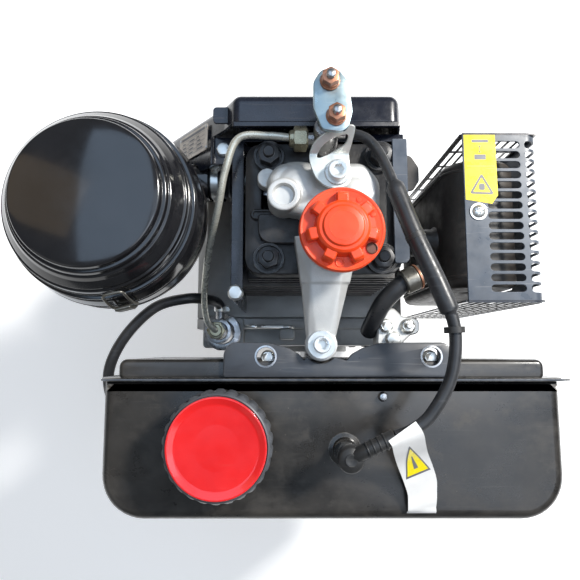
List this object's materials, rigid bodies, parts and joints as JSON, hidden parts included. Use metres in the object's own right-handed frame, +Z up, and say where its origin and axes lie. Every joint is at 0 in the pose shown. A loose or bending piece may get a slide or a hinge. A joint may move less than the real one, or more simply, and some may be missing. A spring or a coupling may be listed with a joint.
{
  "type": "small single-cylinder diesel engine",
  "caption": "Air-cooled single-cylinder engine with injection pump, top oil filler, black fuel tank over the drive shaft, canister air cleaner, guarded muffler and recoil starter",
  "frame": {"origin": "centre of the flat underside of the feet, straight below the crankshaft's axis and the cylinder", "axes": "+X is the exhaust side, +Y is the flywheel and starter side, +Z is up; the drive shaft points along -Y"},
  "size_m": [0.4495, 0.3995, 0.457],
  "materials": {
    "cast_aluminium": "bare sand-cast",
    "painted_casting": "satin black paint",
    "black_sheet": "gloss black paint",
    "zinc": "zinc plated",
    "yellow_zinc": "yellow zinc plated",
    "copper_plate": "copper plated",
    "steel": "machined steel",
    "iron": "cast",
    "rubber": "matte",
    "orange_plastic": "moulded",
    "red_plastic": "moulded",
    "black_plastic": "moulded",
    "paper": "pleated",
    "black_steel": "black oxide"
  },
  "bodies": {
    "engine": {"crankcase": "cast_aluminium", "crankcase_cover": "cast_aluminium", "main_bearing_rear": "steel", "main_bearing_front": "steel", "cylinder_barrel": "iron", "cylinder_head": "painted_casting", "rocker_shaft": "steel", "valve_spring_inlet": "steel", "valve_spring_exhaust": "steel", "head_nut_1": "black_steel", "head_nut_2": "black_steel", "head_nut_3": "black_steel", "head_nut_4": "black_steel", "rocker_cover": "cast_aluminium", "rocker_cover_screw": "zinc", "lifting_bracket": "zinc", "lifting_bracket_screw": "zinc", "bracket_plate": "zinc", "plate_nut_rear": "copper_plate", "plate_nut_front": "copper_plate", "injector": "steel", "injection_pump": "steel", "injection_pipe": "yellow_zinc", "cooling_cowl": "black_sheet", "fan_housing": "black_sheet", "nameplate": "zinc", "recoil_housing": "black_sheet", "intake_elbow": "black_plastic", "air_cleaner_bowl": "black_sheet", "air_filter_element": "paper", "muffler": "black_sheet", "muffler_guard": "black_sheet", "fuel_tank": "black_sheet", "tank_bracket": "painted_casting", "return_elbow": "rubber", "return_hose": "rubber", "fuel_hose": "rubber"},
    "crank": {"crankshaft": "steel", "flywheel": "iron", "starter_cup": "steel"},
    "cam": {"camshaft": "steel"},
    "piston_body": {"piston": "cast_aluminium", "piston_pin": "steel", "connecting_rod": "steel"},
    "dipstick": {"oil_dipstick": "black_plastic"},
    "pushrod_in": {"pushrod_inlet": "steel"},
    "pushrod_ex": {"pushrod_exhaust": "steel"},
    "rocker_in": {"rocker_inlet": "steel"},
    "rocker_ex": {"rocker_exhaust": "steel"},
    "valve_in": {"valve_inlet": "steel"},
    "valve_ex": {"valve_exhaust": "steel"},
    "oil_cap_lifted": {"oil_cap_seal": "rubber"},
    "oil_cap": {"oil_filler_cap": "orange_plastic"},
    "fuel_cap_lifted": {"fuel_cap_seal": "rubber"},
    "fuel_cap_body": {"fuel_cap": "red_plastic"},
    "pulley": {"starter_pulley": "black_plastic"},
    "handle": {"starter_handle": "black_plastic"},
    "cleaner_cover": {"air_cleaner_cover": "black_sheet"},
    "clip": {"air_cleaner_clip": "zinc"},
    "lever": {"speed_lever": "zinc"}
  },
  "joints": [
    {"name": "crank_spin", "type": "hinge", "parent": "engine", "child": "crank", "pos_m": [0, 0, 0.125], "axis": [0, 1, 0], "continuous": true, "deforming": ["connecting_rod"]},
    {"name": "cam_spin", "type": "hinge", "parent": "engine", "child": "cam", "pos_m": [-0.06495, 0, 0.1625], "axis": [0, 1, 0], "continuous": true},
    {"name": "piston_stroke", "type": "slide", "parent": "engine", "child": "piston_body", "axis": [0, 0, 1], "range_m": [-0.076, 0], "deforming": ["connecting_rod"]},
    {"name": "rocker_inlet_tilt", "type": "hinge", "parent": "engine", "child": "rocker_in", "pos_m": [-0.015, 0.023, 0.366], "axis": [0, 1, 0], "range_deg": [0, 15]},
    {"name": "valve_inlet_lift", "type": "slide", "parent": "engine", "child": "valve_in", "axis": [0, 0, -1], "range_m": [0, 0.0086], "deforming": ["valve_spring_inlet"]},
    {"name": "pushrod_inlet_lift", "type": "slide", "parent": "engine", "child": "pushrod_in", "axis": [0.1131, 0, 0.9936], "range_m": [0, 0.0066]},
    {"name": "rocker_exhaust_tilt", "type": "hinge", "parent": "engine", "child": "rocker_ex", "pos_m": [-0.015, -0.015, 0.366], "axis": [0, 1, 0], "range_deg": [0, 15]},
    {"name": "valve_exhaust_lift", "type": "slide", "parent": "engine", "child": "valve_ex", "axis": [0, 0, -1], "range_m": [0, 0.0086], "deforming": ["valve_spring_exhaust"]},
    {"name": "pushrod_exhaust_lift", "type": "slide", "parent": "engine", "child": "pushrod_ex", "axis": [0.1131, 0, 0.9936], "range_m": [0, 0.0066]},
    {"name": "starter_handle_pull", "type": "slide", "parent": "engine", "child": "handle", "axis": [-0.5736, 0, 0.8192], "range_m": [0, 0.3]},
    {"name": "starter_pulley_turn", "type": "hinge", "parent": "engine", "child": "pulley", "pos_m": [0, 0.129, 0.125], "axis": [0, 1, 0], "range_deg": [0, 345]},
    {"name": "fuel_cap_lift", "type": "slide", "parent": "engine", "child": "fuel_cap_lifted", "axis": [0, 0, 1], "range_m": [0, 0.04]},
    {"name": "fuel_cap_turn", "type": "hinge", "parent": "fuel_cap_lifted", "child": "fuel_cap_body", "pos_m": [-0.08, -0.178, 0.4], "axis": [0, 0, 1], "range_deg": [0, 90]},
    {"name": "oil_cap_lift", "type": "slide", "parent": "engine", "child": "oil_cap_lifted", "axis": [0, 0, 1], "range_m": [0, 0.04]},
    {"name": "oil_cap_turn", "type": "hinge", "parent": "oil_cap_lifted", "child": "oil_cap", "pos_m": [0.008, -0.026, 0.434], "axis": [0, 0, 1], "range_deg": [0, 90]},
    {"name": "dipstick_pull", "type": "slide", "parent": "engine", "child": "dipstick", "axis": [0.866, 0, 0.5], "range_m": [0, 0.09]},
    {"name": "cleaner_cover_lift", "type": "slide", "parent": "engine", "child": "cleaner_cover", "axis": [0, 0, 1], "range_m": [0, 0.1]},
    {"name": "clip_swing", "type": "hinge", "parent": "engine", "child": "clip", "pos_m": [-0.1606, -0.07685, 0.364], "axis": [0.9744, 0.225, 0], "range_deg": [0, 60]},
    {"name": "speed_lever_swing", "type": "hinge", "parent": "engine", "child": "lever", "pos_m": [-0.03, -0.086, 0.242], "axis": [0, 1, 0], "range_deg": [-20, 20]}
  ],
  "couplings": [
    {"joint": "cam_spin", "follows": "crank_spin", "ratio": -0.5},
    {"joint": "rocker_inlet_tilt", "follows": "valve_inlet_lift", "rad_per_m": 30.3},
    {"joint": "pushrod_inlet_lift", "follows": "valve_inlet_lift", "ratio": 0.7576},
    {"joint": "rocker_exhaust_tilt", "follows": "valve_exhaust_lift", "rad_per_m": 30.3},
    {"joint": "pushrod_exhaust_lift", "follows": "valve_exhaust_lift", "ratio": 0.7576},
    {"joint": "starter_pulley_turn", "follows": "starter_handle_pull", "rad_per_m": 20}
  ]
}
